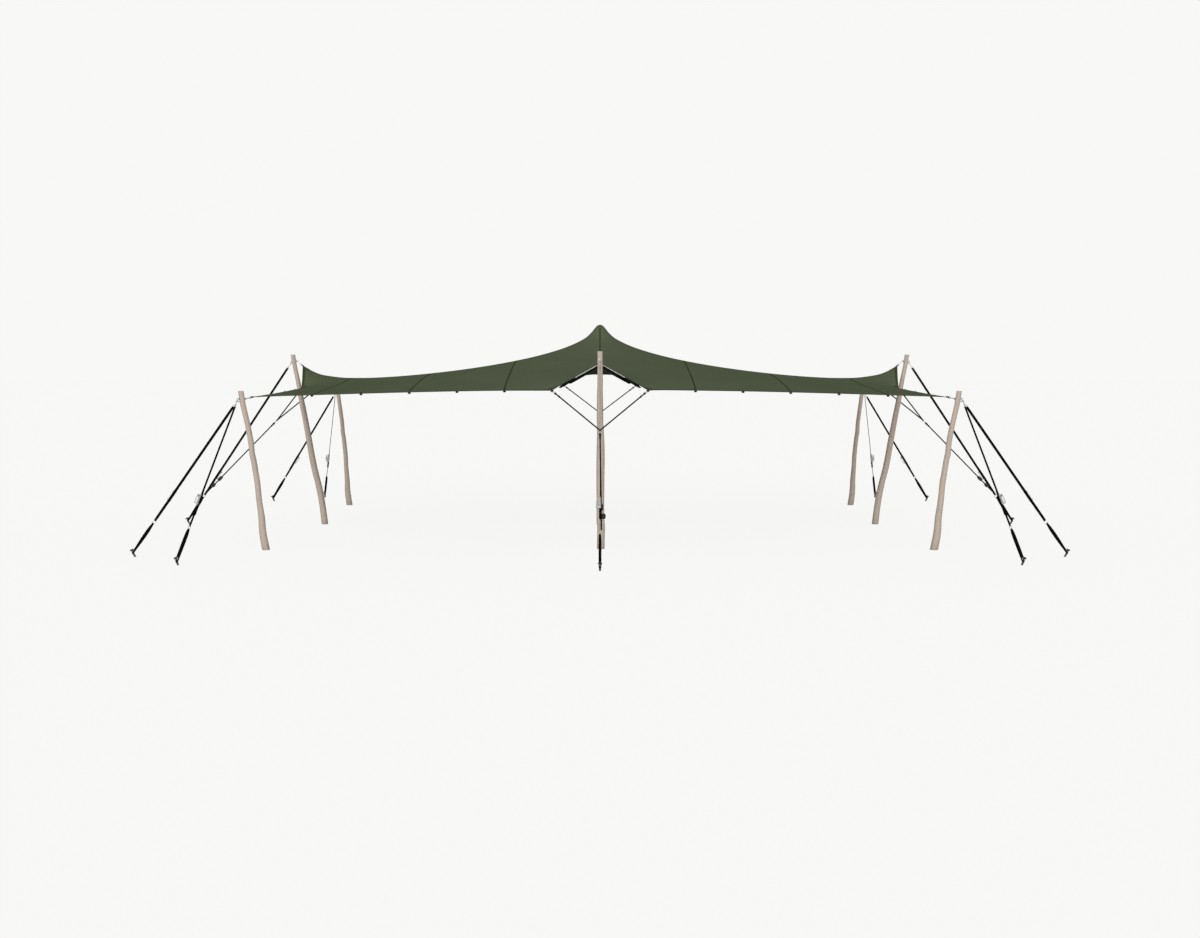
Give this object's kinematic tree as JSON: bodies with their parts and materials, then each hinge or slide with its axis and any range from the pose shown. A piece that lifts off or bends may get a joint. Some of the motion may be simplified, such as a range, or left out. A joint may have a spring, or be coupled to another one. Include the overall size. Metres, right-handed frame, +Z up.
{
  "type": "stretch tent",
  "caption": "Stretch tent: a seamed green fabric canopy peaked on a king pole, held by crooked wooden poles, webbing stays with ratchets, rope bridles and ground stakes.",
  "frame": {"origin": "on the ground at the foot of the king pole, the middle of the plan", "axes": "+X along the long side to the right, +Y to the back, +Z up"},
  "size_m": [14.7132, 11.9532, 3.52],
  "materials": {
    "stretch_fabric": "olive green coated stretch fabric with fine sewn seams",
    "pole_wood": "debarked natural timber, weathered greige with a faint grain",
    "link_steel": "galvanised steel",
    "stay_webbing": "black polyester webbing",
    "stake_steel": "dark forged steel",
    "lever_steel": "zinc plated pressed steel",
    "bridle_rope": "black braided rope",
    "pole_cap": "black moulded rubber"
  },
  "bodies": {
    "tent": {"bridle_back": "bridle_rope", "bridle_front": "bridle_rope", "bridle_left": "bridle_rope", "bridle_right": "bridle_rope", "canopy": "stretch_fabric", "king_pole_cap": "pole_cap", "pole_back": "pole_wood", "pole_back_left": "pole_wood", "pole_back_right": "pole_wood", "pole_front": "pole_wood", "pole_front_left": "pole_wood", "pole_front_right": "pole_wood", "pole_king": "pole_wood", "pole_left": "pole_wood", "pole_link_back": "link_steel", "pole_link_back_left": "link_steel", "pole_link_back_right": "link_steel", "pole_link_front": "link_steel", "pole_link_front_left": "link_steel", "pole_link_front_right": "link_steel", "pole_link_left": "link_steel", "pole_link_right": "link_steel", "pole_right": "pole_wood", "stake_back": "stake_steel", "stake_back_left_back": "stake_steel", "stake_back_left_side": "stake_steel", "stake_back_right_back": "stake_steel", "stake_back_right_side": "stake_steel", "stake_front": "stake_steel", "stake_front_left_front": "stake_steel", "stake_front_left_side": "stake_steel", "stake_front_right_front": "stake_steel", "stake_front_right_side": "stake_steel", "stake_left": "stake_steel", "stake_right": "stake_steel", "stay_back": "stay_webbing", "stay_back_left_back": "stay_webbing", "stay_back_left_side": "stay_webbing", "stay_back_right_back": "stay_webbing", "stay_back_right_side": "stay_webbing", "stay_front": "stay_webbing", "stay_front_left_front": "stay_webbing", "stay_front_left_side": "stay_webbing", "stay_front_right_front": "stay_webbing", "stay_front_right_side": "stay_webbing", "stay_left": "stay_webbing", "stay_right": "stay_webbing"},
    "lever_back": {"ratchet_lever_back": "lever_steel"},
    "lever_back_left_back": {"ratchet_lever_back_left_back": "lever_steel"},
    "lever_back_left_side": {"ratchet_lever_back_left_side": "lever_steel"},
    "lever_back_right_back": {"ratchet_lever_back_right_back": "lever_steel"},
    "lever_back_right_side": {"ratchet_lever_back_right_side": "lever_steel"},
    "lever_front": {"ratchet_lever_front": "lever_steel"},
    "lever_front_left_front": {"ratchet_lever_front_left_front": "lever_steel"},
    "lever_front_left_side": {"ratchet_lever_front_left_side": "lever_steel"},
    "lever_front_right_front": {"ratchet_lever_front_right_front": "lever_steel"},
    "lever_front_right_side": {"ratchet_lever_front_right_side": "lever_steel"},
    "lever_left": {"ratchet_lever_left": "lever_steel"},
    "lever_right": {"ratchet_lever_right": "lever_steel"}
  },
  "joints": [
    {"name": "lever_back_swing", "type": "hinge", "parent": "tent", "child": "lever_back", "pos_m": [0, 5.42588, 0.815], "axis": [0, -0.8303, -0.5573], "range_deg": [0, 150]},
    {"name": "lever_back_left_back_swing", "type": "hinge", "parent": "tent", "child": "lever_back_left_back", "pos_m": [-5.73841, 4.87556, 0.815], "axis": [0.2819, -0.7729, -0.5685], "range_deg": [0, 150]},
    {"name": "lever_back_left_side_swing", "type": "hinge", "parent": "tent", "child": "lever_back_left_side", "pos_m": [-6.33556, 4.27841, 0.815], "axis": [-0.7729, 0.2819, 0.5685], "range_deg": [0, 150]},
    {"name": "lever_back_right_back_swing", "type": "hinge", "parent": "tent", "child": "lever_back_right_back", "pos_m": [5.73841, 4.87556, 0.815], "axis": [0.2819, 0.7729, 0.5685], "range_deg": [0, 150]},
    {"name": "lever_back_right_side_swing", "type": "hinge", "parent": "tent", "child": "lever_back_right_side", "pos_m": [6.33556, 4.27841, 0.815], "axis": [-0.7729, -0.2819, -0.5685], "range_deg": [0, 150]},
    {"name": "lever_front_swing", "type": "hinge", "parent": "tent", "child": "lever_front", "pos_m": [0, -5.42588, 0.815], "axis": [0, -0.8303, 0.5573], "range_deg": [0, 150]},
    {"name": "lever_front_left_front_swing", "type": "hinge", "parent": "tent", "child": "lever_front_left_front", "pos_m": [-5.73841, -4.87556, 0.815], "axis": [-0.2819, -0.7729, 0.5685], "range_deg": [0, 150]},
    {"name": "lever_front_left_side_swing", "type": "hinge", "parent": "tent", "child": "lever_front_left_side", "pos_m": [-6.33556, -4.27841, 0.815], "axis": [-0.7729, -0.2819, 0.5685], "range_deg": [0, 150]},
    {"name": "lever_front_right_front_swing", "type": "hinge", "parent": "tent", "child": "lever_front_right_front", "pos_m": [5.73841, -4.87556, 0.815], "axis": [-0.2819, 0.7729, -0.5685], "range_deg": [0, 150]},
    {"name": "lever_front_right_side_swing", "type": "hinge", "parent": "tent", "child": "lever_front_right_side", "pos_m": [6.33556, -4.27841, 0.815], "axis": [-0.7729, 0.2819, -0.5685], "range_deg": [0, 150]},
    {"name": "lever_left_swing", "type": "hinge", "parent": "tent", "child": "lever_left", "pos_m": [-6.80588, 0, 0.815], "axis": [-0.8303, 0, 0.5573], "range_deg": [0, 150]},
    {"name": "lever_right_swing", "type": "hinge", "parent": "tent", "child": "lever_right", "pos_m": [6.80588, 0, 0.815], "axis": [-0.8303, 0, -0.5573], "range_deg": [0, 150]}
  ]
}
